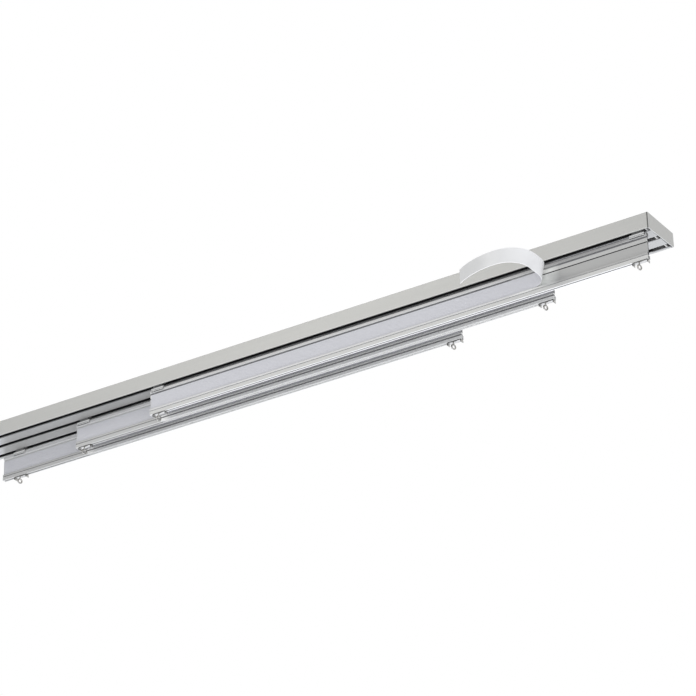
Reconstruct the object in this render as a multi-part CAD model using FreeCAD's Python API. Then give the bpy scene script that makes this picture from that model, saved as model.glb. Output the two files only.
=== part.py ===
import FreeCAD, Part
import math
import os

# Three-channel ceiling track for sliding panel curtains, in millimetres.
# The frame's origin is the middle of the ceiling face. X runs along the track, with its right end at +X,
# the front of the track faces -Y, and +Z points up at the ceiling.

# Track extrusion
track_length = 1200.0
track_height = 15.5
channel_pitch = 20.3
channel_width = 10.4
slot_width = 6.0
side_wall = 1.5
top_wall = 1.3
lip_thickness = 1.3
web_wall = 1.3
skirt_drop = 1.9
skirt_thickness = 1.2
track_edge_radius = 0.4
lip_edge_radius = 0.3

# Screw holes in the roof of the middle channel, the outer ones set in from the track's ends
screw_hole_diameter = 3.6
screw_hole_inset = 60.0
screw_hole_count = 4

# End caps and end stops
cap_thickness = 1.0
cap_lug_length = 8.0
cap_lug_clearance = 0.1
cap_edge_radius = 0.5
stop_length = 5.2
stop_leg_length = 2.6
stop_clearance = 0.2
stop_body_height = 6.5
stop_leg_clearance = 0.3
stop_leg_recess = 0.3

# Panel carrier extrusion, with heights measured down from the ceiling face
carrier_length = 600.0
bead_top_depth = 18.9
bead_width = 4.0
bead_height = 3.8
bead_radius = 0.8
neck_thickness = 1.2
neck_height = 1.7
face_height = 16.4
face_offset = 1.0
score_depth = 0.4
score_width = 0.8
score_below_face_top = 4.2
ridge_height = 2.4
ridge_radius = 0.8
groove_height = 0.6
groove_depth = 0.6
foot_width = 5.0
foot_height = 4.2
foot_radius = 0.6
foot_wall = 0.9
foot_roof = 1.0
foot_floor = 1.0
foot_mouth = 1.8
small_radius = 0.2

# Where each carrier stands at rest: its right end, measured back from the right end of the track
front_carrier_setback = 5.2
middle_carrier_setback = 121.2
rear_carrier_setback = 240.6

# Gliders
glider_length = 16.0
glider_wall = 1.1
glider_roof = 0.8
glider_jaw = 0.6
glider_clearance = 0.1
glider_cheek_height = 3.8
glider_radius = 0.5
head_length = 14.0
head_height = 4.4
head_side_clearance = 0.6
head_running_clearance = 0.3
head_corner_radius = 2.0
glider_neck_length = 11.0
glider_neck_clearance = 0.6
glider_inset = 2.2
rear_left_glider_inset = 14.7

# Saddles and eyelets under the ends of the carriers
saddle_length = 17.0
saddle_thickness = 0.9
saddle_leg_height = 3.3
saddle_bend_radius = 1.0
saddle_hole_clearance = 0.15
saddle_inset_right = 0.4
saddle_inset_left = 3.6
rear_left_saddle_inset = 16.4
eyelet_offset = 2.0
eyelet_diameter = 6.5
eyelet_hole_diameter = 3.2
eyelet_thickness = 1.4
eyelet_edge_radius = 0.4
eyelet_turn = 20.0
eyelet_below_saddle = 1.45
eyelet_neck_diameter = 1.3
eyelet_foot_length = 5.0
eyelet_foot_height = 1.7
eyelet_foot_clearance = 0.15

# Hook tape. The front strip is peeled off its face at the right end and curls round to the left.
tape_width = 16.0
tape_thickness = 1.2
tape_below_face_top = 0.2
tape_end_inset = 1.0
bare_length = 128.5
peel_radius = 21.0
peel_turn = 90.0
peel_straight = 16.0
crown_radius = 26.0
crown_turn = 90.0
tail_radius = 88.0
tail_turn = 34.0

# The largest share of a side that one corner's rounding takes, so that neighbouring roundings never meet
rounding_share = 0.45

# Worked-out sizes of the track
track_depth = 2 * (channel_pitch + channel_width / 2 + side_wall)
profile_length = track_length - 2 * cap_thickness
screw_hole_spacing = (track_length - 2 * screw_hole_inset) / (screw_hole_count - 1)
lip_top = -track_height + lip_thickness
chamber_width = channel_pitch - channel_width - 2 * web_wall
channel_centres = {"front": -channel_pitch, "middle": 0.0, "rear": channel_pitch}

# Worked-out heights of the carrier, the glider on its bead and the saddle under its foot
bead_top = -bead_top_depth
bead_bottom = bead_top - bead_height
face_top = bead_bottom - neck_height
face_bottom = face_top - face_height
ridge_bottom = face_bottom - ridge_height
foot_top = ridge_bottom - groove_height
foot_bottom = foot_top - foot_height
foot_floor_top = foot_bottom + foot_floor
foot_cavity_width = foot_width - 2 * foot_wall
tape_top = face_top - tape_below_face_top
glider_top = bead_top + glider_clearance + glider_roof
head_bottom = lip_top + head_running_clearance
eyelet_centre = foot_bottom - saddle_thickness - eyelet_below_saddle - eyelet_diameter / 2

carrier_setbacks = {
    "front": front_carrier_setback,
    "middle": middle_carrier_setback,
    "rear": rear_carrier_setback,
}


def span(low, high, y_low, y_high, z_low, z_high):
    """A block between two corners."""
    return Part.makeBox(high - low, y_high - y_low, z_high - z_low, FreeCAD.Vector(low, y_low, z_low))


def rounded_wire(corners):
    """A closed wire through (point, radius) corners that lie in one plane, with a rounding in each corner
    that takes no more than its share of either side."""
    count = len(corners)
    arrivals = []
    departures = []
    bends = []
    for i in range(count):
        point, radius = corners[i]
        to_last = corners[i - 1][0] - point
        to_next = corners[(i + 1) % count][0] - point
        half_angle = to_last.getAngle(to_next) / 2
        longest_reach = rounding_share * min(to_last.Length, to_next.Length)
        reach = min(radius / math.tan(half_angle), longest_reach)
        to_last.normalize()
        to_next.normalize()
        arrivals.append(point + to_last * reach)
        departures.append(point + to_next * reach)
        if reach > 0:
            inward = to_last + to_next
            inward.normalize()
            fitted = reach * math.tan(half_angle)
            bends.append(point + inward * (fitted / math.sin(half_angle) - fitted))
        else:
            bends.append(None)
    edges = []
    for i in range(count):
        if bends[i] is not None:
            edges.append(Part.Arc(arrivals[i], bends[i], departures[i]).toShape())
        edges.append(Part.LineSegment(departures[i], arrivals[(i + 1) % count]).toShape())
    return Part.Wire(edges)


def extruded_along_x(outline, low, high):
    """The solid of a (y, z, radius) outline that runs along the track from low to high."""
    corners = [(FreeCAD.Vector(low, y, z), radius) for y, z, radius in outline]
    return Part.Face(rounded_wire(corners)).extrude(FreeCAD.Vector(high - low, 0, 0))


def extruded_along_y(outline, low, high):
    """The solid of an (x, z, radius) outline that runs across the track from low to high."""
    corners = [(FreeCAD.Vector(x, low, z), radius) for x, z, radius in outline]
    return Part.Face(rounded_wire(corners)).extrude(FreeCAD.Vector(0, high - low, 0))


def track_outline():
    """The track's outer outline, which runs in and out of the three channels through their slots."""
    front = -track_depth / 2
    rear = track_depth / 2
    skirt_back = front + skirt_thickness
    outline = [
        (front, -track_height - skirt_drop, track_edge_radius),
        (skirt_back, -track_height - skirt_drop, track_edge_radius),
        (skirt_back, -track_height, lip_edge_radius),
    ]
    for centre in channel_centres.values():
        outline += [
            (centre - slot_width / 2, -track_height, lip_edge_radius),
            (centre - slot_width / 2, lip_top, lip_edge_radius),
            (centre - channel_width / 2, lip_top, lip_edge_radius),
            (centre - channel_width / 2, -top_wall, lip_edge_radius),
            (centre + channel_width / 2, -top_wall, lip_edge_radius),
            (centre + channel_width / 2, lip_top, lip_edge_radius),
            (centre + slot_width / 2, lip_top, lip_edge_radius),
            (centre + slot_width / 2, -track_height, lip_edge_radius),
        ]
    outline += [
        (rear, -track_height, track_edge_radius),
        (rear, 0, track_edge_radius),
        (front, 0, track_edge_radius),
    ]
    return outline


def chamber_centres():
    """The middles of the two closed chambers between the channels."""
    return (-channel_pitch / 2, channel_pitch / 2)


def track_profile():
    """The track extrusion with its chambers and the screw holes in the roof of the middle channel."""
    low = -profile_length / 2
    high = profile_length / 2
    profile = extruded_along_x(track_outline(), low, high)
    for centre in chamber_centres():
        chamber = span(
            low, high, centre - chamber_width / 2, centre + chamber_width / 2, lip_top, -top_wall
        )
        profile = profile.cut(chamber)
    first_hole = -screw_hole_spacing * (screw_hole_count - 1) / 2
    for i in range(screw_hole_count):
        at = FreeCAD.Vector(first_hole + i * screw_hole_spacing, channel_centres["middle"], -top_wall)
        profile = profile.cut(Part.makeCylinder(screw_hole_diameter / 2, top_wall, at))
    return profile


def end_cap(side):
    """An end cap, side +1 on the right and -1 on the left, with a lug in each chamber."""
    inner = side * profile_length / 2
    outer = side * track_length / 2
    front = -track_depth / 2
    rear = track_depth / 2
    outline = [
        (front, 0, cap_edge_radius),
        (front, -track_height - skirt_drop, cap_edge_radius),
        (rear, -track_height, cap_edge_radius),
        (rear, 0, cap_edge_radius),
    ]
    cap = extruded_along_x(outline, min(inner, outer), max(inner, outer))
    lug_end = inner - side * cap_lug_length
    for centre in chamber_centres():
        half_width = chamber_width / 2 - cap_lug_clearance
        lug = span(
            min(inner, lug_end),
            max(inner, lug_end),
            centre - half_width,
            centre + half_width,
            lip_top + cap_lug_clearance,
            -top_wall - cap_lug_clearance,
        )
        cap = cap.fuse(lug)
    return cap.removeSplitter()


def end_stop(row, side):
    """An end stop: a body in the channel against the end cap, and a leg that reaches down into the slot."""
    centre = channel_centres[row]
    outer = side * profile_length / 2
    inner = outer - side * stop_length
    leg_outer = inner + side * stop_leg_length
    roof = -top_wall - stop_clearance
    half_body = channel_width / 2 - stop_clearance
    half_leg = slot_width / 2 - stop_leg_clearance
    body_floor = roof - stop_body_height
    body = span(
        min(inner, outer), max(inner, outer), centre - half_body, centre + half_body, body_floor, roof
    )
    leg = span(
        min(inner, leg_outer),
        max(inner, leg_outer),
        centre - half_leg,
        centre + half_leg,
        -track_height + stop_leg_recess,
        body_floor,
    )
    return body.fuse(leg).removeSplitter()


def carrier_ends(row):
    """Where a carrier starts and ends along the track."""
    right = track_length / 2 - carrier_setbacks[row]
    return right - carrier_length, right


def panel_carrier(row):
    """A carrier extrusion: bead, neck, tape face with a scored line, ridge, groove and C-channel foot."""
    centre = channel_centres[row]
    low, high = carrier_ends(row)
    bead = bead_width / 2
    neck = neck_thickness / 2
    foot = foot_width / 2
    cavity = foot_cavity_width / 2
    mouth = foot_mouth / 2
    score_top = face_top - score_below_face_top
    score_bottom = score_top - score_width
    outline = [
        (-bead, bead_top, bead_radius),
        (bead, bead_top, bead_radius),
        (bead, bead_bottom, bead_radius),
        (neck, bead_bottom, small_radius),
        (neck, foot_top, small_radius),
        (foot, foot_top, foot_radius),
        (foot, foot_bottom, foot_radius),
        (mouth, foot_bottom, small_radius),
        (mouth, foot_floor_top, 0),
        (cavity, foot_floor_top, 0),
        (cavity, foot_top - foot_roof, 0),
        (-cavity, foot_top - foot_roof, 0),
        (-cavity, foot_floor_top, 0),
        (-mouth, foot_floor_top, 0),
        (-mouth, foot_bottom, small_radius),
        (-foot, foot_bottom, foot_radius),
        (-foot, foot_top, small_radius),
        (groove_depth - foot, foot_top, 0),
        (groove_depth - foot, ridge_bottom, 0),
        (-foot, ridge_bottom, small_radius),
        (-foot, face_bottom, ridge_radius),
        (-face_offset, face_bottom, small_radius),
        (-face_offset, score_bottom, 0),
        (score_depth - face_offset, (score_top + score_bottom) / 2, 0),
        (-face_offset, score_top, 0),
        (-face_offset, face_top, small_radius),
        (-neck, face_top, 0),
        (-neck, bead_bottom, 0),
        (-bead, bead_bottom, bead_radius),
    ]
    return extruded_along_x([(centre + y, z, radius) for y, z, radius in outline], low, high)


def fitting_centre(row, side, length, inset):
    """The middle of a fitting of a given length, set in from the carrier's end on that side."""
    low, high = carrier_ends(row)
    if side > 0:
        return high - inset - length / 2
    return low + inset + length / 2


def glider_centre(row, side):
    """The middle of a glider along the track."""
    inset = rear_left_glider_inset if (row, side) == ("rear", -1) else glider_inset
    return fitting_centre(row, side, glider_length, inset)


def glider(row, side):
    """A glider: a head that runs on the channel's lips, a neck through the slot and a foot that hooks round
    the carrier's bead from the rear, with a short cheek on the front."""
    centre = channel_centres[row]
    middle = glider_centre(row, side)
    inside = bead_width / 2 + glider_clearance
    outside = inside + glider_wall
    hook_tip = neck_thickness / 2 + glider_clearance
    cheek_bottom = glider_top - glider_cheek_height
    jaw_top = bead_bottom - glider_clearance
    jaw_bottom = jaw_top - glider_jaw
    outline = [
        (-outside, glider_top, glider_radius),
        (outside, glider_top, glider_radius),
        (outside, jaw_bottom, glider_radius),
        (hook_tip, jaw_bottom, 0),
        (hook_tip, jaw_top, 0),
        (inside, jaw_top, 0),
        (inside, bead_top + glider_clearance, 0),
        (-inside, bead_top + glider_clearance, 0),
        (-inside, cheek_bottom, 0),
        (-outside, cheek_bottom, glider_radius),
    ]
    outline = [(centre + y, z, radius) for y, z, radius in outline]
    foot = extruded_along_x(outline, middle - glider_length / 2, middle + glider_length / 2)
    half_neck = slot_width / 2 - glider_neck_clearance
    neck = span(
        middle - glider_neck_length / 2,
        middle + glider_neck_length / 2,
        centre - half_neck,
        centre + half_neck,
        glider_top,
        head_bottom,
    )
    half_head = channel_width / 2 - head_side_clearance
    head_corners = [(-1, -1), (1, -1), (1, 1), (-1, 1)]
    head_outline = []
    for x_side, y_side in head_corners:
        corner = FreeCAD.Vector(middle + x_side * head_length / 2, centre + y_side * half_head, head_bottom)
        head_outline.append((corner, head_corner_radius))
    head = Part.Face(rounded_wire(head_outline)).extrude(FreeCAD.Vector(0, 0, head_height))
    return foot.fuse([neck, head]).removeSplitter()


def saddle_centre(row, side):
    """The middle of a saddle along the track."""
    inset = saddle_inset_right if side > 0 else saddle_inset_left
    if (row, side) == ("rear", -1):
        inset = rear_left_saddle_inset
    return fitting_centre(row, side, saddle_length, inset)


def eyelet_middle(row, side):
    """The middle of an eyelet, which stands a little to the left of its saddle's middle."""
    return saddle_centre(row, side) - eyelet_offset


def saddle(row, side):
    """A saddle: an inverted U plate under the carrier's foot, with a hole for the eyelet's neck."""
    centre = channel_centres[row]
    middle = saddle_centre(row, side)
    outer = saddle_length / 2
    inner = outer - saddle_thickness
    plate_bottom = foot_bottom - saddle_thickness
    leg_bottom = foot_bottom - saddle_leg_height
    outline = [
        (-outer, foot_bottom, saddle_bend_radius),
        (outer, foot_bottom, saddle_bend_radius),
        (outer, leg_bottom, small_radius),
        (inner, leg_bottom, small_radius),
        (inner, plate_bottom, small_radius),
        (-inner, plate_bottom, small_radius),
        (-inner, leg_bottom, small_radius),
        (-outer, leg_bottom, small_radius),
    ]
    outline = [(middle + x, z, radius) for x, z, radius in outline]
    plate = extruded_along_y(outline, centre - foot_width / 2, centre + foot_width / 2)
    hole_radius = eyelet_neck_diameter / 2 + saddle_hole_clearance
    hole_foot = FreeCAD.Vector(eyelet_middle(row, side), centre, plate_bottom)
    hole = Part.makeCylinder(hole_radius, saddle_thickness, hole_foot)
    return plate.cut(hole)


def eyelet(row, side):
    """An eyelet: a ring turned a little to the front, a neck up through the saddle and a foot in the
    C-channel."""
    centre = channel_centres[row]
    middle = eyelet_middle(row, side)
    turn = math.radians(eyelet_turn)
    through = FreeCAD.Vector(math.cos(turn), -math.sin(turn), 0)
    ring_face = FreeCAD.Vector(middle, centre, eyelet_centre) - through * eyelet_thickness / 2
    ring = Part.makeCylinder(eyelet_diameter / 2, eyelet_thickness, ring_face, through)
    rims = [edge for edge in ring.Edges if edge.Length > eyelet_diameter]
    ring = ring.makeFillet(eyelet_edge_radius, rims)
    hole = Part.makeCylinder(eyelet_hole_diameter / 2, eyelet_thickness, ring_face, through)
    foot_low = foot_floor_top + eyelet_foot_clearance
    neck_low = eyelet_centre + (eyelet_diameter + eyelet_hole_diameter) / 4
    neck_base = FreeCAD.Vector(middle, centre, neck_low)
    neck = Part.makeCylinder(eyelet_neck_diameter / 2, foot_low - neck_low, neck_base)
    half_foot = foot_cavity_width / 2 - eyelet_foot_clearance
    foot = span(
        middle - eyelet_foot_length / 2,
        middle + eyelet_foot_length / 2,
        centre - half_foot,
        centre + half_foot,
        foot_low,
        foot_low + eyelet_foot_height,
    )
    return ring.cut(hole).fuse([neck, foot]).removeSplitter()


def arc_side(centre, radius, start_angle, end_angle, height):
    """An arc at a given height, from its centre, radius and two angles in degrees."""
    points = []
    for angle in (start_angle, (start_angle + end_angle) / 2, end_angle):
        turn = math.radians(angle)
        offset = FreeCAD.Vector(radius * math.cos(turn), radius * math.sin(turn), 0)
        points.append(FreeCAD.Vector(centre.x, centre.y, height) + offset)
    return Part.Arc(points[0], points[1], points[2]).toShape()


def tape_strip(start, steps, thickness, low, high):
    """A strip of tape that stands on edge between two heights. It starts at a point, heads along +X and
    takes its steps: ("run", length) straight on, or ("turn", radius, angle) to the right."""
    here = FreeCAD.Vector(start.x, start.y, low)
    heading = 0.0
    left_edges = []
    right_edges = []
    for step in steps:
        forward = FreeCAD.Vector(math.cos(math.radians(heading)), math.sin(math.radians(heading)), 0)
        right = FreeCAD.Vector(forward.y, -forward.x, 0)
        if step[0] == "run":
            there = here + forward * step[1]
            left_edges.append(
                Part.LineSegment(here - right * thickness / 2, there - right * thickness / 2).toShape()
            )
            right_edges.append(
                Part.LineSegment(here + right * thickness / 2, there + right * thickness / 2).toShape()
            )
        else:
            radius, angle = step[1], step[2]
            centre = here + right * radius
            start_angle = heading + 90
            end_angle = start_angle - angle
            left_edges.append(arc_side(centre, radius + thickness / 2, start_angle, end_angle, low))
            right_edges.append(arc_side(centre, radius - thickness / 2, start_angle, end_angle, low))
            turn = math.radians(end_angle)
            there = centre + FreeCAD.Vector(radius * math.cos(turn), radius * math.sin(turn), 0)
            heading -= angle
        here = there
    first = Part.LineSegment(right_edges[0].firstVertex().Point, left_edges[0].firstVertex().Point).toShape()
    last = Part.LineSegment(left_edges[-1].lastVertex().Point, right_edges[-1].lastVertex().Point).toShape()
    wire = Part.Wire(Part.__sortEdges__([first] + left_edges + [last] + right_edges))
    return Part.Face(wire).extrude(FreeCAD.Vector(0, 0, high - low))


def hook_tape(row):
    """The hook tape on a carrier's face, flat all along, or with its right end peeled off on the front."""
    low, high = carrier_ends(row)
    middle_line = channel_centres[row] - face_offset - tape_thickness / 2
    start = FreeCAD.Vector(low + tape_end_inset, middle_line, 0)
    stuck_end = high - bare_length if row == "front" else high - tape_end_inset
    steps = [("run", stuck_end - start.x)]
    if row == "front":
        steps += [
            ("turn", peel_radius, peel_turn),
            ("run", peel_straight),
            ("turn", crown_radius, crown_turn),
            ("turn", tail_radius, tail_turn),
        ]
    return tape_strip(start, steps, tape_thickness, tape_top - tape_width, tape_top)


def build():
    """Every piece of the track, by the name of its node."""
    sides = {"left": -1, "right": 1}
    pieces = {"track_profile": track_profile()}
    for side_name, side in sides.items():
        pieces["end_cap_" + side_name] = end_cap(side)
    for row in channel_centres:
        pieces["carrier_" + row] = panel_carrier(row)
        pieces["tape_" + row] = hook_tape(row)
        for side_name, side in sides.items():
            place = row + "_" + side_name
            pieces["stop_" + place] = end_stop(row, side)
            pieces["glider_" + place] = glider(row, side)
            pieces["saddle_" + place] = saddle(row, side)
            pieces["eyelet_" + place] = eyelet(row, side)
    return pieces


os.makedirs("parts", exist_ok=True)
for name, shape in build().items():
    shape.exportStep("parts/" + name + ".step")
    print(name, len(shape.Solids), "solid", shape.isValid(), "valid", round(shape.Volume, 2), "mm3")
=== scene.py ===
"""Looks of a ceiling track with three sliding panel carriers, dressed around its construction.

Lengths are metres in the construction's own frame, unless a name ends in _mm. X runs along the track to its
right end, -Y is its front and +Z points at the ceiling.
"""

import logging
import math
from abc import ABC, abstractmethod
from dataclasses import dataclass
from enum import Enum
from typing import ClassVar

import bpy
import numpy as np
from mathutils import Matrix, Vector


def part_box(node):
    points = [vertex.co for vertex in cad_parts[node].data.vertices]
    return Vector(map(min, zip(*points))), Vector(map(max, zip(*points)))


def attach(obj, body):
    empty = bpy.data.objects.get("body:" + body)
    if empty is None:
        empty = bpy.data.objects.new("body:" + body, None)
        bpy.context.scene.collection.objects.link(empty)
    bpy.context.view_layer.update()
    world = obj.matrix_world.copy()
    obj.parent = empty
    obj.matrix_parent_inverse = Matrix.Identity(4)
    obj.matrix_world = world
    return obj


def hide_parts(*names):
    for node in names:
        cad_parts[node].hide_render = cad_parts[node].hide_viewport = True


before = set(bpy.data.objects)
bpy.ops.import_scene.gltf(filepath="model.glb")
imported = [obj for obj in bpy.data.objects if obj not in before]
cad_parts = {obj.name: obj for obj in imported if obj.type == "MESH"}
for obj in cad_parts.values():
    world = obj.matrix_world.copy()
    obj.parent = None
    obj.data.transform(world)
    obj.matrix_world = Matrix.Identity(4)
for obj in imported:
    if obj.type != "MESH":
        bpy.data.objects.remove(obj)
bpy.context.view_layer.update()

log = logging.getLogger("curtain_track")

MM = 0.001
NOISE_RANGE = (0.3, 0.7)  # where most values of a noise texture lie
MIX_FROM, MIX_TO, MIXED = 6, 7, 2  # a Mix node's colour sockets, whose names other sockets have too
LEAST_SPREAD = 0.5  # holds back an outline's corner that is too sharp to pull in


class Row(Enum):
    """The three channels, from the viewer's side back."""

    FRONT = "front"
    MIDDLE = "middle"
    REAR = "rear"

    @property
    def body(self) -> str:
        """The body that slides in the channel."""
        return self.value + "_panel_carrier"

    @property
    def carrier(self) -> str:
        """The node of that body's extrusion."""
        return "carrier_" + self.value


class Side(Enum):
    """The two ends of the track or of a carrier, by the sign of their X."""

    LEFT = -1
    RIGHT = 1

    @property
    def word(self) -> str:
        """The side as it stands in a node's name."""
        return self.name.lower()


class Slot(Enum):
    """The record's material slots of the pieces that replace a node."""

    TAPE = "hook_tape"
    GLIDER = "glider_plastic"
    SADDLE = "saddle_steel"
    EYELET = "eyelet_steel"


# Colours and nodes


def linear(hex_colour: str) -> tuple[float, float, float, float]:
    """Turns an sRGB hex colour into the linear colour that a shader takes.

    Args:
        hex_colour: six hex digits, such as "c8c8c4".

    Returns:
        Linear red, green, blue and an alpha of 1.
    """
    shares = np.array([int(hex_colour[i : i + 2], 16) for i in (0, 2, 4)]) / 255
    bright = ((shares + 0.055) / 1.055) ** 2.4
    red, green, blue = np.where(shares <= 0.04045, shares / 12.92, bright)
    return float(red), float(green), float(blue), 1.0


def add_node(
    tree: bpy.types.NodeTree,
    kind: str,
    settings: dict[str, object] | None = None,
    inputs: dict[str | int, object] | None = None,
) -> bpy.types.Node:
    """Adds a node with its settings, values and links.

    Args:
        tree: the node tree that takes the node.
        kind: the node's type name.
        settings: the node's own properties.
        inputs: for each input socket, by name or place, either its value or the output that it is joined to.

    Returns:
        The new node.
    """
    node = tree.nodes.new(kind)
    for name, value in (settings or {}).items():
        setattr(node, name, value)
    for name, value in (inputs or {}).items():
        if isinstance(value, bpy.types.NodeSocket):
            tree.links.new(value, node.inputs[name])
        else:
            node.inputs[name].default_value = value
    return node


# Finishes


@dataclass(frozen=True)
class Trace:
    """What a fine pattern leaves on a surface. The pattern is noise on Object coordinates, whose blots have a
    real size each way.

    Attributes:
        size_mm: the size of a blot along X, Y and Z.
        tint: the colour that shows where the noise is low.
        share: how much of that colour shows there.
        gloss: how much rougher the surface is where the noise is low, and how much smoother where it is high.
        depth_mm: the depth of the relief.
        layers: how many finer layers the noise has.
    """

    size_mm: tuple[float, float, float]
    tint: str
    share: float
    gloss: float = 0.0
    depth_mm: float = 0.0
    layers: float = 2.0


@dataclass(frozen=True)
class Patch:
    """A place where a surface has another colour: a box in Object coordinates.

    Attributes:
        low_mm: where the box starts along X, Y and Z.
        high_mm: where it ends.
        colour: the colour in it.
        share: how much of that colour it has.
        mirrored: whether the box lies on both sides of the origin each way, and its places are distances.
        soft: the part of the way from its edge to its middle over which it fades in.
    """

    low_mm: tuple[float, float, float]
    high_mm: tuple[float, float, float]
    colour: str
    share: float = 1.0
    mirrored: bool = True
    soft: float = 0.001


@dataclass(frozen=True)
class Finish:
    """What every finish has.

    Attributes:
        name: the material's name.
        colour: the main colour as sRGB hex.
        roughness: how far the gloss spreads, from 0, a mirror, to 1, chalk.
        metallic: how much of the surface shines as a metal does.
        traces: the fine patterns on it.
        patches: the places that have another colour.
    """

    name: str
    colour: str
    roughness: float
    metallic: float = 0.0
    traces: tuple[Trace, ...] = ()
    patches: tuple[Patch, ...] = ()

    def material(self) -> bpy.types.Material:
        """Makes the material: one shader on the output, with the traces, the finish's own detail and the
        patches laid into it in that order.

        Returns:
            The new material.
        """
        material = bpy.data.materials.new(self.name)
        material.use_nodes = True
        tree = material.node_tree
        tree.nodes.clear()
        values = {"Base Color": linear(self.colour), "Roughness": self.roughness, "Metallic": self.metallic}
        shader = add_node(tree, "ShaderNodeBsdfPrincipled", inputs=values)
        add_node(tree, "ShaderNodeOutputMaterial", inputs={"Surface": shader.outputs["BSDF"]})
        for trace in self.traces:
            self.leave(trace, tree, shader)
        self.detail(tree, shader)
        for patch in self.patches:
            self.paint(patch, tree, shader)
        return material

    def detail(self, tree: bpy.types.NodeTree, shader: bpy.types.Node) -> None:
        """Sets what only this finish has; the plain finish has nothing of its own."""

    def leave(self, trace: Trace, tree: bpy.types.NodeTree, shader: bpy.types.Node) -> None:
        """Works a trace into the colour, the gloss and the relief that the shader has so far.

        Args:
            trace: the pattern.
            tree: the material's tree.
            shader: its shader.
        """
        place = add_node(tree, "ShaderNodeTexCoord").outputs["Object"]
        scale = tuple(1 / (size * MM) for size in trace.size_mm)
        scaled = add_node(tree, "ShaderNodeMapping", inputs={"Vector": place, "Scale": scale})
        values = {"Vector": scaled.outputs["Vector"], "Scale": 1.0, "Detail": trace.layers}
        noise = add_node(tree, "ShaderNodeTexNoise", inputs=values).outputs[0]
        least, most = NOISE_RANGE
        values = {"Value": noise, "From Min": least, "From Max": most, "To Min": 1.0, "To Max": 0.0}
        low = add_node(tree, "ShaderNodeMapRange", inputs=values).outputs["Result"]
        share = add_node(tree, "ShaderNodeMath", {"operation": "MULTIPLY"}, {0: low, 1: trace.share})
        self.tint(tree, shader, share.outputs[0], trace.tint)
        if trace.gloss:
            values = {0: low, 1: 2 * trace.gloss, 2: self.roughness - trace.gloss}
            gloss = add_node(tree, "ShaderNodeMath", {"operation": "MULTIPLY_ADD"}, values)
            tree.links.new(gloss.outputs[0], shader.inputs["Roughness"])
        if trace.depth_mm:
            self.raise_by(tree, shader, noise, trace.depth_mm)

    def paint(self, patch: Patch, tree: bpy.types.NodeTree, shader: bpy.types.Node) -> None:
        """Lays a patch over the colour that the shader has so far. A point is in its box where the largest of
        |point - middle| / half size is under 1, with |point| for the point if the patch is mirrored.

        Args:
            patch: the patch.
            tree: the material's tree.
            shader: its shader.
        """
        low, high = Vector(patch.low_mm) * MM, Vector(patch.high_mm) * MM
        place = add_node(tree, "ShaderNodeTexCoord").outputs["Object"]
        steps = [("SUBTRACT", (low + high) / 2), ("ABSOLUTE", None), ("DIVIDE", (high - low) / 2)]
        if patch.mirrored:
            steps.insert(0, ("ABSOLUTE", None))
        for operation, value in steps:
            values = {0: place} if value is None else {0: place, 1: value}
            place = add_node(tree, "ShaderNodeVectorMath", {"operation": operation}, values).outputs[0]
        x, y, z = add_node(tree, "ShaderNodeSeparateXYZ", inputs={0: place}).outputs
        largest = add_node(tree, "ShaderNodeMath", {"operation": "MAXIMUM"}, {0: x, 1: y}).outputs[0]
        largest = add_node(tree, "ShaderNodeMath", {"operation": "MAXIMUM"}, {0: largest, 1: z}).outputs[0]
        values = {"Value": largest, "From Min": 1 - patch.soft, "From Max": 1.0, "To Min": patch.share}
        share = add_node(tree, "ShaderNodeMapRange", inputs={**values, "To Max": 0.0})
        self.tint(tree, shader, share.outputs["Result"], patch.colour)

    def tint(
        self, tree: bpy.types.NodeTree, shader: bpy.types.Node, share: bpy.types.NodeSocket, colour: str
    ) -> None:
        """Lets a share of another colour into the shader's base colour.

        Args:
            tree: the material's tree.
            shader: its shader.
            share: how much of the other colour there is at each point, from 0 to 1.
            colour: the other colour as sRGB hex.
        """
        base = shader.inputs["Base Color"]
        present = base.links[0].from_socket if base.is_linked else tuple(base.default_value)
        values = {"Factor": share, MIX_FROM: present, MIX_TO: linear(colour)}
        mixed = add_node(tree, "ShaderNodeMix", {"data_type": "RGBA"}, values)
        tree.links.new(mixed.outputs[MIXED], base)

    def raise_by(
        self, tree: bpy.types.NodeTree, shader: bpy.types.Node, height: bpy.types.NodeSocket, depth_mm: float
    ) -> None:
        """Adds relief of a real depth to what the shader's normal has so far.

        Args:
            tree: the material's tree.
            shader: its shader.
            height: the relief at each point, from 0 to 1.
            depth_mm: what a height of 1 is.
        """
        normal = shader.inputs["Normal"]
        values = {"Height": height, "Distance": depth_mm * MM, "Strength": 1.0}
        if normal.is_linked:
            values["Normal"] = normal.links[0].from_socket
        bump = add_node(tree, "ShaderNodeBump", inputs=values)
        tree.links.new(bump.outputs["Normal"], normal)


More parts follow.
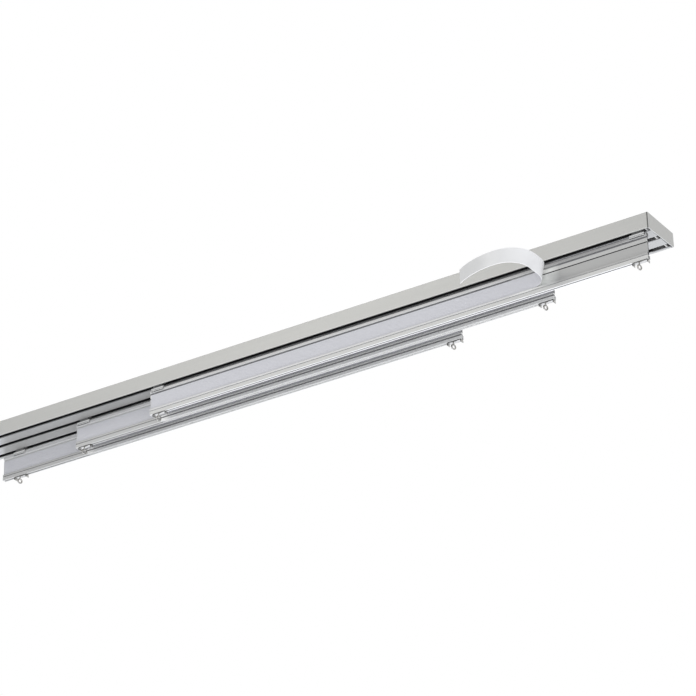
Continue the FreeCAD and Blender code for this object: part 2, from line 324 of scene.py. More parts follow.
@dataclass(frozen=True)
class AnodisedAluminium(Finish):
    """Extruded aluminium, etched and silver anodised. The etch gives a soft satin gloss that spreads every
    reflection, part of it as a matt surface would, and the die leaves faint lines along the extrusion. The
    lines are drawn a few times coarser than the real ones so that they show. Its sawn ends are painted dark,
    a painted shade.

    Attributes:
        sawn_end_shade: the colour of the painted shade on the sawn ends.
        sawn_from: how much of a face's normal lies along X where the face counts as sawn.
    """

    metallic: float = 0.5
    sawn_end_shade: str = "4a4a4b"
    sawn_from: float = 0.9
    traces: tuple[Trace, ...] = (
        Trace((260.0, 0.9, 0.9), "9c9c9a", 0.16, depth_mm=0.006, layers=3.0),
        Trace((0.35, 0.35, 0.35), "9c9c9a", 0.04, gloss=0.03, depth_mm=0.0015),
    )

    def detail(self, tree: bpy.types.NodeTree, shader: bpy.types.Node) -> None:
        """Paints shade on the sawn ends, which are the faces whose own normal lies along X.

        Args:
            tree: the material's tree.
            shader: its shader.
        """
        normal = add_node(tree, "ShaderNodeTexCoord").outputs["Normal"]
        x = add_node(tree, "ShaderNodeSeparateXYZ", inputs={0: normal}).outputs[0]
        steep = add_node(tree, "ShaderNodeMath", {"operation": "ABSOLUTE"}, {0: x}).outputs[0]
        values = {0: steep, 1: self.sawn_from}
        end = add_node(tree, "ShaderNodeMath", {"operation": "GREATER_THAN"}, values).outputs[0]
        # Painted shade on the sawn ends
        self.tint(tree, shader, end, self.sawn_end_shade)


@dataclass(frozen=True)
class SatinLacquer(Finish):
    """Zinc casting under silver-grey lacquer. The metal flakes in the lacquer give it part of a metal's
    gloss, and the sprayed film has a fine orange peel. The flakes are drawn coarser than the real ones.

    Attributes:
        coat: the weight of the clear coat over the flakes.
        coat_roughness: how far the coat's gloss spreads.
    """

    metallic: float = 0.55
    traces: tuple[Trace, ...] = (
        Trace((0.25, 0.25, 0.25), "d2d2ce", 0.25, layers=1.0),
        Trace((1.4, 1.4, 1.4), "a8a8a5", 0.1, depth_mm=0.006, layers=1.0),
    )
    coat: float = 0.25
    coat_roughness: float = 0.3

    def detail(self, tree: bpy.types.NodeTree, shader: bpy.types.Node) -> None:
        """Sets the clear coat over the flakes."""
        shader.inputs["Coat Weight"].default_value = self.coat
        shader.inputs["Coat Roughness"].default_value = self.coat_roughness


@dataclass(frozen=True)
class MouldedPlastic(Finish):
    """Injection-moulded acetal. It has faint clouds in its colour, the fine, even grain of an eroded mould,
    and the dull gloss of a waxy plastic.

    Attributes:
        ior: acetal's refractive index.
    """

    traces: tuple[Trace, ...] = (
        Trace((6.0, 6.0, 6.0), "c4c4c2", 0.2),
        Trace((0.3, 0.3, 0.3), "d0d0ce", 0.1, gloss=0.05, depth_mm=0.012, layers=1.0),
    )
    ior: float = 1.48

    def detail(self, tree: bpy.types.NodeTree, shader: bpy.types.Node) -> None:
        """Sets acetal's refractive index."""
        shader.inputs["IOR"].default_value = self.ior


@dataclass(frozen=True)
class BrightNickel(Finish):
    """Pressed steel, tumbled and nickel plated. The plating is bright and a little warm, and the tumbling
    leaves shallow, duller dimples that break up its highlights."""

    metallic: float = 1.0
    traces: tuple[Trace, ...] = (Trace((0.8, 0.8, 0.8), "a9a7a2", 0.4, gloss=0.06, depth_mm=0.01),)


@dataclass(frozen=True)
class WovenNylon(Finish):
    """Woven nylon ribbon. Its ribs and threads cross in a fine plain weave with a soft silky sheen.

    Attributes:
        thread_mm: the spacing of the threads, drawn twice as coarse as the real ones so that it shows.
        thread_depth_mm: how far a thread stands proud.
        gap: the colour between the threads.
        gap_share: how much of that colour there is at the lowest points.
        gap_height: the height at which it has gone, where a thread's middle is 1.
        sheen: the weight of the silky sheen.
        sheen_roughness: how far the sheen spreads.
    """

    thread_mm: float = 0.8
    thread_depth_mm: float = 0.08
    gap: str = "c4c4ca"
    gap_share: float = 0.7
    gap_height: float = 0.5
    sheen: float = 0.15
    sheen_roughness: float = 0.4

    def detail(self, tree: bpy.types.NodeTree, shader: bpy.types.Node) -> None:
        """Adds the sheen, and the weave in the colour and the relief. The weave's height is
        |sin(pi s / thread)| * |sin(pi w / thread)| on the ribbon's UV map, in metres along and across it.

        Args:
            tree: the material's tree.
            shader: its shader.
        """
        shader.inputs["Sheen Weight"].default_value = self.sheen
        shader.inputs["Sheen Roughness"].default_value = self.sheen_roughness
        place = add_node(tree, "ShaderNodeUVMap", {"uv_map": "ribbon"}).outputs["UV"]
        parts = add_node(tree, "ShaderNodeSeparateXYZ", inputs={0: place})
        turns = math.pi / (self.thread_mm * MM)
        waves = []
        for axis in ("X", "Y"):
            values = {0: parts.outputs[axis], 1: turns}
            angle = add_node(tree, "ShaderNodeMath", {"operation": "MULTIPLY"}, values).outputs[0]
            sine = add_node(tree, "ShaderNodeMath", {"operation": "SINE"}, {0: angle}).outputs[0]
            waves.append(add_node(tree, "ShaderNodeMath", {"operation": "ABSOLUTE"}, {0: sine}).outputs[0])
        values = dict(enumerate(waves))
        height = add_node(tree, "ShaderNodeMath", {"operation": "MULTIPLY"}, values).outputs[0]
        values = {"Value": height, "From Min": 0.0, "From Max": self.gap_height}
        values |= {"To Min": self.gap_share, "To Max": 0.0}
        between = add_node(tree, "ShaderNodeMapRange", inputs=values).outputs["Result"]
        self.tint(tree, shader, between, self.gap)
        self.raise_by(tree, shader, height, self.thread_depth_mm)


@dataclass(frozen=True)
class AdhesiveFilm(Finish):
    """The film of dried contact adhesive on the back of the ribbon. It lets a little light through, and the
    peeling has left shallow ripples in it. Up to the first bend of the peeled part it is painted white,
    fading over the next ones, a painted light, and along its edges it has a painted highlight.

    Attributes:
        painted_light_colour: the colour of the painted light.
        fading_mm: the lengths along the ribbon between which that colour fades.
        edge_mm: how far from the middle line the painted highlight starts, all along.
        glow: how much of the light goes into the film.
        glow_mm: how far that light spreads in it.
    """

    traces: tuple[Trace, ...] = (Trace((9.0, 9.0, 9.0), "e2e2e0", 0.3, depth_mm=0.03),)
    painted_light_colour: str = "fefefd"
    fading_mm: tuple[float, float] = (505.0, 582.0)
    edge_mm: float = 7.5
    glow: float = 0.2
    glow_mm: float = 0.6

    def detail(self, tree: bpy.types.NodeTree, shader: bpy.types.Node) -> None:
        """Lets light a little way into the film and paints light and a highlight on it, on the ribbon's UV
        map in metres.

        Args:
            tree: the material's tree.
            shader: its shader.
        """
        shader.inputs["Subsurface Weight"].default_value = self.glow
        shader.inputs["Subsurface Radius"].default_value = (1.0, 1.0, 1.0)
        shader.inputs["Subsurface Scale"].default_value = self.glow_mm * MM
        place = add_node(tree, "ShaderNodeUVMap", {"uv_map": "ribbon"}).outputs["UV"]
        s, w, _ = add_node(tree, "ShaderNodeSeparateXYZ", inputs={0: place}).outputs
        # Painted light up to the first bend, fading along the ribbon, and a painted highlight along its edges
        start, end = (length * MM for length in self.fading_mm)
        values = {"Value": s, "From Min": start, "From Max": end, "To Min": 1.0, "To Max": 0.0}
        bent = add_node(tree, "ShaderNodeMapRange", inputs=values).outputs["Result"]
        off = add_node(tree, "ShaderNodeMath", {"operation": "ABSOLUTE"}, {0: w}).outputs[0]
        values = {0: off, 1: self.edge_mm * MM}
        edge = add_node(tree, "ShaderNodeMath", {"operation": "GREATER_THAN"}, values).outputs[0]
        share = add_node(tree, "ShaderNodeMath", {"operation": "MAXIMUM"}, {0: bent, 1: edge}).outputs[0]
        self.tint(tree, shader, share, self.painted_light_colour)


@dataclass(frozen=True)
class NylonMonofilament(Finish):
    """The cut and bent nylon threads that are the hooks. Each is clear, drawn plastic with a small sharp
    glint, milky in the patches where it was bent.

    Attributes:
        ior: nylon's refractive index.
    """

    traces: tuple[Trace, ...] = (Trace((1.1, 1.1, 1.1), "e6e5ea", 1.0, layers=1.0),)
    ior: float = 1.53

    def detail(self, tree: bpy.types.NodeTree, shader: bpy.types.Node) -> None:
        """Sets nylon's refractive index."""
        shader.inputs["IOR"].default_value = self.ior


# Surfaces


@dataclass
class Shell:
    """A closed skin as whole arrays.

    Attributes:
        points: the vertices, one row each.
        corners: the vertex numbers of every face, one face after the other.
        sizes: how many corners each face has.
        finish: which of the piece's materials each face has, by number.
        uv: a flat place for each vertex, or None.
    """

    points: np.ndarray
    corners: np.ndarray
    sizes: np.ndarray
    finish: np.ndarray
    uv: np.ndarray | None = None


def joined(shells: list[Shell]) -> Shell:
    """Puts shells into one skin, each still closed by itself.

    Args:
        shells: the shells, none of which has a UV map.

    Returns:
        One shell with all their faces.
    """
    firsts = np.cumsum([0] + [len(shell.points) for shell in shells[:-1]])
    corners = [shell.corners + first for shell, first in zip(shells, firsts)]
    points, sizes, finish = (
        np.concatenate([getattr(shell, name) for shell in shells]) for name in ("points", "sizes", "finish")
    )
    return Shell(points, np.concatenate(corners), sizes, finish)


def skin(rings: np.ndarray, closed: bool = False) -> Shell:
    """The skin over a row of rings. Rings i and i + 1 are joined by quads, from corner j to corner j + 1.

    Args:
        rings: points as (ring, corner, 3); each ring runs anticlockwise, seen from the end of the row.
        closed: whether the last ring joins the first; otherwise both ends get a flat face.

    Returns:
        The closed skin, with its faces outwards.
    """
    count, around = rings.shape[:2]
    number = np.arange(count * around).reshape(count, around)
    here = number if closed else number[:-1]
    there = np.roll(number, -1, axis=0) if closed else number[1:]
    quads = np.stack([here, np.roll(here, -1, 1), np.roll(there, -1, 1), there], axis=-1).reshape(-1)
    sizes = np.full(len(quads) // 4, 4)
    if closed:
        return Shell(rings.reshape(-1, 3), quads, sizes, np.zeros(len(sizes), int))
    corners = np.concatenate([quads, number[0][::-1], number[-1]])
    sizes = np.append(sizes, [around, around])
    return Shell(rings.reshape(-1, 3), corners, sizes, np.zeros(len(sizes), int))


def rounded_outline(corners: list[tuple[float, float, float]], steps: int = 5) -> np.ndarray:
    """A closed outline with arcs in its corners. Each arc touches both of its edges at
    radius / tan(half the corner's angle) from the corner.

    Args:
        corners: (first, second, radius) for each corner, anticlockwise.
        steps: how many points an arc has.

    Returns:
        The outline's points as (point, 2).
    """
    places = np.array([corner[:2] for corner in corners])
    pieces = []
    for i, (_, _, radius) in enumerate(corners):
        back = places[i - 1] - places[i]
        ahead = places[(i + 1) % len(corners)] - places[i]
        back, ahead = back / np.linalg.norm(back), ahead / np.linalg.norm(ahead)
        half = math.acos(float(np.clip(back @ ahead, -1, 1))) / 2
        middle = places[i] + (back + ahead) / np.linalg.norm(back + ahead) * radius / math.sin(half)
        first = places[i] + back * radius / math.tan(half) - middle
        last = places[i] + ahead * radius / math.tan(half) - middle
        turn = math.atan2(first[0] * last[1] - first[1] * last[0], float(first @ last))
        angles = math.atan2(first[1], first[0]) + np.linspace(0, turn, steps)
        pieces.append(middle + radius * np.stack([np.cos(angles), np.sin(angles)], axis=-1))
    return np.concatenate(pieces)


def pulled_in(outline: np.ndarray, amount: float) -> np.ndarray:
    """Moves each corner of an outline inwards, so that its two edges both move by the amount: along the sum
    of the edges' inward normals, by the amount / (1 + their scalar product).

    Args:
        outline: the outline's points, anticlockwise.
        amount: how far the edges move.

    Returns:
        The moved points.
    """
    back = outline - np.roll(outline, 1, axis=0)
    ahead = np.roll(outline, -1, axis=0) - outline
    inward = [np.stack([-edge[:, 1], edge[:, 0]], -1) for edge in (back, ahead)]
    inward = [edge / np.linalg.norm(edge, axis=1, keepdims=True) for edge in inward]
    middle = inward[0] + inward[1]
    spread = 1 + np.sum(inward[0] * inward[1], axis=1, keepdims=True)
    return outline + middle / np.maximum(spread, LEAST_SPREAD) * amount


class Axis(Enum):
    """The way that a shape is extruded, with the two directions of its outline in right-handed order."""

    X = ((0, 1, 0), (0, 0, 1), (1, 0, 0))
    Y = ((0, 0, 1), (1, 0, 0), (0, 1, 0))
    Z = ((1, 0, 0), (0, 1, 0), (0, 0, 1))


def extruded(outline: np.ndarray, axis: Axis, low: float, high: float, ease: float, steps: int = 4) -> Shell:
    """An outline carried along an axis, with its two rims rounded: on the way in from either end, the outline
    is pulled in by ease * (1 - sin a) at a distance of ease * (1 - cos a), with a from 0 to a quarter turn.

    Args:
        outline: the outline, anticlockwise in the axis's two directions.
        axis: the axis that it is carried along.
        low: where it starts.
        high: where it ends.
        ease: the radius of the rims.
        steps: how many rings a rim has.

    Returns:
        The closed skin, with finish 1 on its rims and ends and finish 0 between them.
    """
    angles = np.linspace(0, math.pi / 2, steps)
    inset = ease * (1 - np.sin(angles))
    depth = ease * (1 - np.cos(angles))
    places = np.concatenate([low + depth, (high - depth)[::-1]])
    insets = np.concatenate([inset, inset[::-1]])
    first, second, along = (np.array(way, float) for way in axis.value)
    rings = [
        pulled_in(outline, amount) @ np.stack([first, second]) + along * place
        for amount, place in zip(insets, places)
    ]
    shell = skin(np.array(rings))
    shell.finish[:] = 1
    middle = (steps - 1) * len(outline)
    shell.finish[middle : middle + len(outline)] = 0
    return shell


def block(low: tuple[float, float, float], high: tuple[float, float, float], ease: float) -> Shell:
    """A block with rounded edges all round.

    Args:
        low: its lowest corner.
        high: its highest corner.
        ease: the radius of its edges.

    Returns:
        The closed skin.
    """
    (x0, y0, z0), (x1, y1, z1) = low, high
    outline = rounded_outline([(x0, y0, ease), (x1, y0, ease), (x1, y1, ease), (x0, y1, ease)])
    return extruded(outline, Axis.Z, z0, z1, ease)


def turned(middle: tuple[float, float], profile: np.ndarray, around: int = 32) -> Shell:
    """A profile turned about an upright axis: each (radius, height) gives one ring.

    Args:
        middle: the axis's place in X and Y.
        profile: (radius, height) rows, from the bottom up.
        around: how many corners a ring has.

    Returns:
        The closed skin.
    """
    angles = np.arange(around) * 2 * math.pi / around
    radius, height = profile[:, :1], profile[:, 1:]
    x = middle[0] + radius * np.cos(angles)
    y = middle[1] + radius * np.sin(angles)
    return skin(np.stack([x, y, np.broadcast_to(height, x.shape)], axis=-1))


def make_piece(
    name: str, shell: Shell, materials: list[bpy.types.Material], sharp_degrees: float = 35.0
) -> bpy.types.Object:
    """Puts a shell into a mesh object at the origin.

    Args:
        name: the piece's name.
        shell: its skin.
        materials: its materials, in the order of the shell's finish numbers; one alone covers it all.
        sharp_degrees: faces that meet at a larger angle keep a sharp edge.

    Returns:
        The linked object.
    """
    mesh = bpy.data.meshes.new(name)
    mesh.vertices.add(len(shell.points))
    mesh.loops.add(len(shell.corners))
    mesh.polygons.add(len(shell.sizes))
    mesh.vertices.foreach_set("co", shell.points.astype(np.float32).ravel())
    mesh.loops.foreach_set("vertex_index", shell.corners.astype(np.int32))
    starts = np.concatenate([[0], np.cumsum(shell.sizes)[:-1]]).astype(np.int32)
    mesh.polygons.foreach_set("loop_start", starts)
    mesh.polygons.foreach_set("loop_total", shell.sizes.astype(np.int32))
    if len(materials) > 1:
        mesh.polygons.foreach_set("material_index", shell.finish.astype(np.int32))
    if shell.uv is not None:
        layer = mesh.uv_layers.new(name="ribbon")
        layer.data.foreach_set("uv", shell.uv[shell.corners].astype(np.float32).ravel())
    mesh.update(calc_edges=True)
    mesh.validate()
    mesh.shade_smooth()
    mesh.set_sharp_from_angle(angle=math.radians(sharp_degrees))
    for material in materials:
        mesh.materials.append(material)
    piece = bpy.data.objects.new(name, mesh)
    bpy.context.scene.collection.objects.link(piece)
    return piece


def dress(node: str, material: bpy.types.Material) -> None:
    """Gives a node of the construction its material; its mesh stays as it is.

    Args:
        node: the node's name.
        material: what it is made of.
    """
    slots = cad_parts[node].data.materials
    slots.clear()
    slots.append(material)
    log.info("%s keeps its own shape and wears %s", node, material.name)


def stand_in(piece: bpy.types.Object, node: str, body: str) -> None:
    """Lets a piece ride on a body in the place of a node.

    Args:
        piece: the piece.
        node: the node that it replaces.
        body: the body that it rides on.
    """
    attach(piece, body)
    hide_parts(node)
    log.info("%s replaces %s on %s, %d faces", piece.name, node, body, len(piece.data.polygons))


# Sub-assemblies


@dataclass
class Track:
    """The ceiling extrusion with its end caps and end stops. The insides of the channels are painted dark, a
    painted shade, and painted lighter near the ends. Painted shade lies along the slots' edges, at the
    sawn ends, where the caps meet the extrusion, along the upper edges, in the lacquer round the rim of each
    cap and in two bands across each stop. The underside is painted a little lighter, and the skirt's lower
    edge has a painted highlight.

    Attributes:
        aluminium: the extrusion's finish.
        lacquer: the caps' finish.
        plastic: the stops' finish.
    """

    aluminium: AnodisedAluminium = AnodisedAluminium(
        "silver_anodised_aluminium",
        "b4b4b1",
        0.42,
        patches=(
            # Painted shade inside the channels, and painted light in them near their ends
            Patch((0, 0, 1.2), (599, 25.6, 14.3), "2e2e32", 0.9),
            Patch((578, 0, 1.2), (599, 25.6, 14.3), "c0c0c0", 0.9),
            # The underside, painted a little lighter: a painted light
            Patch((0, 0, 15.3), (599, 26.5, 17.3), "b9b9b7"),
            # Painted shade along the rear edge of each slot: the front one's all along, the others' at the
            # right end
            Patch((-600, -17.4, -16), (599, -16.3, -14.2), "4c4c50", 0.4, mirrored=False),
            Patch((578, 2.9, -16), (599, 4.1, -14.2), "4c4c50", 0.5, mirrored=False),
            Patch((578, 23.2, -16), (599, 24.4, -14.2), "4c4c50", 0.5, mirrored=False),
            # A painted highlight on the skirt's lower edge
            Patch((0, 26.5, 16.3), (599, 27.1, 17.2), "bfbfbc"),
            # Painted shade on the sawn ends' rims, below and on the front
            Patch((597.6, 0, 14.5), (599, 26.5, 17.3), "2c2c2c", 0.7),
            Patch((598.6, 26.5, 0), (599, 30, 20), "3c3c3c", 0.5),
            # Painted shade along the upper edges
            Patch((0, 0, 0.02), (599, 27, 0.38), "4c4c4c", 0.5),
        ),
    )
    lacquer: SatinLacquer = SatinLacquer(
        "silver_grey_lacquer",
        "b5b5b2",
        0.38,
        patches=(
            # Painted shade on the rim against the extrusion
            Patch((599.0, 26.7, 0), (600, 27.1, 20), "1c1c1c", 0.9),
        ),
    )
    plastic: MouldedPlastic = MouldedPlastic(
        "white_acetal",
        "dcdbd8",
        0.42,
        patches=(
            # Painted shade in two bands, across the leg and beside the cap
            Patch((595.0, 0, 0), (596.9, 30, 20), "303030", 0.9),
            Patch((598.2, 0, 0), (599.2, 30, 20), "3a3a3a", 0.85),
        ),
    )

    def build(self) -> None:
        """Dresses the track and its fittings."""
        dress("track_profile", self.aluminium.material())
        lacquer = self.lacquer.material()
        plastic = self.plastic.material()
        for side in Side:
            dress("end_cap_" + side.word, lacquer)
            for row in Row:
                dress(f"stop_{row.value}_{side.word}", plastic)


@dataclass
class Fitting(ABC):
    """A small piece at one end of a carrier, in the place of a node of its own.

    Attributes:
        row: the row that it belongs to.
        side: the carrier's end that it is at.
        kind: the word that its node's name starts with.
        made: how it is made, which its own name starts with.
        slot: its node's material slot.
    """

    row: Row
    side: Side
    kind: ClassVar[str]
    made: ClassVar[str]
    slot: ClassVar[Slot]

    @property
    def node(self) -> str:
        """The node that the piece stands for."""
        return f"{self.kind}_{self.row.value}_{self.side.word}"

    @abstractmethod
    def shell(self) -> Shell:
        """The piece's skin, in the place of its node."""

    def build(self, materials: list[bpy.types.Material]) -> None:
        """Builds the piece and lets it ride on its carrier.

        Args:
            materials: its own, and that of its rims and ends where they have another.
        """
        piece = make_piece(f"{self.made}_{self.node}", self.shell(), materials)
        stand_in(piece, self.node, self.row.body)


@dataclass
class Glider(Fitting):
    """A moulded glider: a head that runs in the channel, a neck through the slot and a foot that hooks round
    the carrier's bead from the rear.

    Attributes:
        head_mm: the head's height.
        head_corner_mm: the radius of the head's corners, seen from above.
        head_shorter_mm: how far the head's ends stay behind the foot's.
        neck_length_mm: the neck's length along the track.
        neck_width_mm: its width in the slot.
        foot_half_width_mm: half the foot's width.
        bead_half_width_mm: half the width of the space for the bead.
        bead_height_mm: the height of that space.
        bead_play_mm: the play between the bead and the foot's roof.
        roof_mm: the foot's wall over the bead.
        hook_tip_mm: how near to the middle the hook reaches under the bead.
        cheek_mm: the height of the short cheek on the front.
        line_mm: the depth and half height of the moulded line along the cheek.
        line_share: how far down the cheek the line is, as a share of its height.
        foot_corner_mm: the radius of the foot's outer corners.
        cheek_corner_mm: the radius of the cheek's outer corner.
        inner_corner_mm: the radius of the corners round the bead.
        line_corner_mm: the radius of the corners of the moulded line.
        rim_mm: the radius of all edges.
    """

    kind = "glider"
    made = "moulded"
    slot = Slot.GLIDER
    head_mm: float = 4.4
    head_corner_mm: float = 2.0
    head_shorter_mm: float = 1.0
    neck_length_mm: float = 11.0
    neck_width_mm: float = 4.8
    foot_half_width_mm: float = 3.2
    bead_half_width_mm: float = 2.1
    bead_height_mm: float = 4.0
    bead_play_mm: float = 0.1
    roof_mm: float = 0.8
    hook_tip_mm: float = 0.7
    cheek_mm: float = 3.8
    line_mm: float = 0.3
    line_share: float = 0.62
    foot_corner_mm: float = 0.45
    cheek_corner_mm: float = 0.35
    inner_corner_mm: float = 0.1
    line_corner_mm: float = 0.05
    rim_mm: float = 0.35

    def foot_outline(self, middle_y: float, top: float) -> np.ndarray:
        """The foot's section in Y and Z: a roof, a rear wall with a hook, and a short cheek with a line.

        Args:
            middle_y: the middle of the foot across the track.
            top: the top of its roof.

        Returns:
            The section's outline.
        """
        out, inside = self.foot_half_width_mm, self.bead_half_width_mm
        outer, inner, fine = self.foot_corner_mm, self.inner_corner_mm, self.line_corner_mm
        hook_top = -self.roof_mm - self.bead_height_mm
        hook_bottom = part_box(self.node)[0].z / MM - top / MM
        line = -self.cheek_mm * self.line_share
        corners = [
            (-out, 0, outer),
            (-out, line + self.line_mm, fine),
            (-out + self.line_mm, line, fine),
            (-out, line - self.line_mm, fine),
            (-out, -self.cheek_mm, self.cheek_corner_mm),
            (-inside, -self.cheek_mm, inner),
            (-inside, -self.roof_mm, inner),
            (inside, -self.roof_mm, inner),
            (inside, hook_top, inner),
            (self.hook_tip_mm, hook_top, inner),
            (self.hook_tip_mm, hook_bottom, inner),
            (out, hook_bottom, outer),
            (out, 0, outer),
        ]
        places = [(middle_y + y * MM, top + z * MM, radius * MM) for y, z, radius in corners]
        return rounded_outline(places)

    def shell(self) -> Shell:
        """The foot, the neck and the head, with finish 1 on the foot's rims and ends alone.

        Returns:
            Their closed skins as one shell.
        """
        low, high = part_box(self.node)
        centre = (low + high) / 2
        rim = self.rim_mm * MM
        head_bottom = high.z - self.head_mm * MM
        foot_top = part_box(self.row.carrier)[1].z + (self.roof_mm + self.bead_play_mm) * MM
        foot = extruded(self.foot_outline(centre.y, foot_top), Axis.X, low.x, high.x, rim / 2)
        half_neck = Vector((self.neck_length_mm, self.neck_width_mm, 0)) * MM / 2
        neck = block(
            (centre.x - half_neck.x, centre.y - half_neck.y, foot_top - rim),
            (centre.x + half_neck.x, centre.y + half_neck.y, head_bottom + rim),
            rim / 2,
        )
        head = self.head(centre, low, high, head_bottom)
        neck.finish[:] = 0
        head.finish[:] = 0
        return joined([foot, neck, head])

    def head(self, centre: Vector, low: Vector, high: Vector, bottom: float) -> Shell:
        """The head: a plate with large corners and rounded rims, a little shorter than the foot.

        Args:
            centre: the middle of the glider's box.
            low: the box's lowest corner.
            high: its highest corner.
            bottom: the head's underside.

        Returns:
            The head's closed skin.
        """
        half_x = (high.x - low.x) / 2 - self.head_shorter_mm * MM
        half_y = (high.y - low.y) / 2
        corner = self.head_corner_mm * MM
        sides = [(-1, -1), (1, -1), (1, 1), (-1, 1)]
        outline = [(centre.x + i * half_x, centre.y + j * half_y, corner) for i, j in sides]
        plate = rounded_outline(outline, steps=9)
        return extruded(plate, Axis.Z, bottom, high.z, ease=2 * self.rim_mm * MM, steps=6)


@dataclass
class Saddle(Fitting):
    """A saddle of bent spring steel: an inverted U plate under the carrier's foot.

    Attributes:
        plate_mm: the plate's thickness.
        bend_mm: the radius of its bends, outside.
        inner_bend_mm: the same inside.
        tip_mm: the radius at the legs' tips.
        rim_mm: the radius of the tumbled edges.
    """

    kind = "saddle"
    made = "bent"
    slot = Slot.SADDLE
    plate_mm: float = 0.9
    bend_mm: float = 1.1
    inner_bend_mm: float = 0.38
    tip_mm: float = 0.4
    rim_mm: float = 0.22

    def shell(self) -> Shell:
        """The plate: a U outline in Z and X, carried across the track.

        Returns:
            Its closed skin, with finish 1 on the sheared edges.
        """
        low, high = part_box(self.node)
        plate = self.plate_mm * MM
        bend, inner_bend, tip = (radius * MM for radius in (self.bend_mm, self.inner_bend_mm, self.tip_mm))
        corners = [
            (high.z, low.x, bend),
            (high.z, high.x, bend),
            (low.z, high.x, tip),
            (low.z, high.x - plate, tip),
            (high.z - plate, high.x - plate, inner_bend),
            (high.z - plate, low.x + plate, inner_bend),
            (low.z, low.x + plate, tip),
            (low.z, low.x, tip),
        ]
        outline = rounded_outline(corners, steps=7)
        return extruded(outline, Axis.Y, low.y, high.y, self.rim_mm * MM)


@dataclass
class Eyelet(Fitting):
    """A pressed eyelet: a ring across the track, turned a little to the front, a neck that flares into it
    and a foot in the C-channel.

    Attributes:
        ring_mm: the ring's outer diameter.
        hole_mm: its hole's diameter.
        ring_width_mm: the ring's thickness.
        turn_degrees: how far the ring's axis is turned from X to the front.
        ring_steps: how many sections the ring has.
        section_steps: how many corners its section has.
        neck_mm: the neck's diameter.
        neck_steps: how many rings the neck has.
        flare_mm: how much the neck's radius flares where it meets the ring.
        flare_from_mm: the height above the ring's middle line where the flare starts.
        flare_full_mm: the height up to which it is full.
        foot_mm: the foot's height.
        foot_width_mm: the foot's width across the track.
        foot_rim_mm: the radius of the foot's edges, and how far the neck reaches into it.
        squareness: how square the ring's section is, from 2, round, up.
    """

    kind = "eyelet"
    made = "pressed"
    slot = Slot.EYELET
    ring_mm: float = 6.5
    hole_mm: float = 3.2
    ring_width_mm: float = 1.4
    turn_degrees: float = 20.0
    ring_steps: int = 48
    section_steps: int = 20
    neck_mm: float = 1.3
    neck_steps: int = 14
    flare_mm: float = 0.4
    flare_from_mm: float = 0.5
    flare_full_mm: float = 0.6
    foot_mm: float = 1.7
    foot_width_mm: float = 2.9
    foot_rim_mm: float = 0.3
    squareness: float = 2.4

    def ring(self, centre: Vector) -> Shell:
        """The ring: a superellipse, cos and sin to the power of 2 / squareness, carried round a circle whose
        axis is X turned to the front.

        Args:
            centre: the ring's middle.

        Returns:
            Its closed skin.
        """
        around = np.arange(self.ring_steps) * 2 * math.pi / self.ring_steps
        section = np.arange(self.section_steps) * 2 * math.pi / self.section_steps
        power = 2 / self.squareness
        cosine = np.sign(np.cos(section)) * np.abs(np.cos(section)) ** power
        sine = np.sign(np.sin(section)) * np.abs(np.sin(section)) ** power
        line = (self.ring_mm + self.hole_mm) / 4 * MM
        reach = (self.ring_mm - self.hole_mm) / 4 * MM
        radius = line + reach * cosine
        turn = math.radians(self.turn_degrees)
        across = np.cos(around)[:, None] * radius
        through = np.broadcast_to(-self.ring_width_mm / 2 * MM * sine, across.shape)
        x = centre.x + through * math.cos(turn) + across * math.sin(turn)
        y = centre.y - through * math.sin(turn) + across * math.cos(turn)
        z = centre.z + np.sin(around)[:, None] * radius
        return skin(np.stack([x, y, z], axis=-1), closed=True)

    def neck(self, centre: Vector, top: float) -> Shell:
        """The neck: an upright rod. Its radius is wider by the whole flare between the flare's two heights,
        and over the upper one by flare * exp(-rise / flare), with the rise counted from there.

        Args:
            centre: the ring's middle.
            top: the neck's upper end.

        Returns:
            Its closed skin.
        """
        bottom = centre.z + (self.ring_mm + self.hole_mm) / 4 * MM
        height = np.linspace(0, top - bottom, self.neck_steps)
        flare = self.flare_mm * MM
        fading = np.exp(-np.maximum(height - self.flare_full_mm * MM, 0) / flare)
        radius = self.neck_mm / 2 * MM + flare * fading * (height > self.flare_from_mm * MM)
        return turned((centre.x, centre.y), np.stack([radius, bottom + height], axis=-1))

    def shell(self) -> Shell:
        """The ring, the neck and the foot.

        Returns:
            Their closed skins as one shell.
        """
        low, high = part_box(self.node)
        middle = (low + high) / 2
        centre = Vector((middle.x, middle.y, low.z + self.ring_mm / 2 * MM))
        foot_low = high.z - self.foot_mm * MM
        rim = self.foot_rim_mm * MM
        half = Vector(((high.x - low.x) / 2, self.foot_width_mm / 2 * MM, 0))
        foot = block(
            (middle.x - half.x, middle.y - half.y, foot_low),
            (middle.x + half.x, middle.y + half.y, high.z),
            rim,
        )
        return joined([self.ring(centre), self.neck(centre, foot_low + rim), foot])


@dataclass(frozen=True)
class Bend:
    """A stretch of the ribbon's line, which turns evenly to the right over its length.

    Attributes:
        length_mm: its length.
        turn_degrees: how far it turns.
    """

    length_mm: float
    turn_degrees: float


@dataclass
class RibbonLine:
    """The line that the middle of a ribbon follows, seen from above.

    Attributes:
        s: the length along the ribbon at each point.
        place: the points.
        along: the way that the ribbon runs at each point.
        up: the ribbon's own upward direction, which leans outwards where it is twisted.
        hook_side: the direction that the hooks point in.
    """

    s: np.ndarray
    place: np.ndarray
    along: np.ndarray
    up: np.ndarray
    hook_side: np.ndarray

    def at(self, s: np.ndarray) -> tuple[np.ndarray, np.ndarray, np.ndarray, np.ndarray]:
        """The line at some lengths, read between its points.

        Args:
            s: the lengths.

        Returns:
            The place and the three directions at each: along, up and the hooks' side.
        """
        read = [
            np.stack([np.interp(s, self.s, field[:, k]) for k in range(3)], axis=-1)
            for field in (self.place, self.along, self.up, self.hook_side)
        ]
        return read[0], read[1], read[2], read[3]


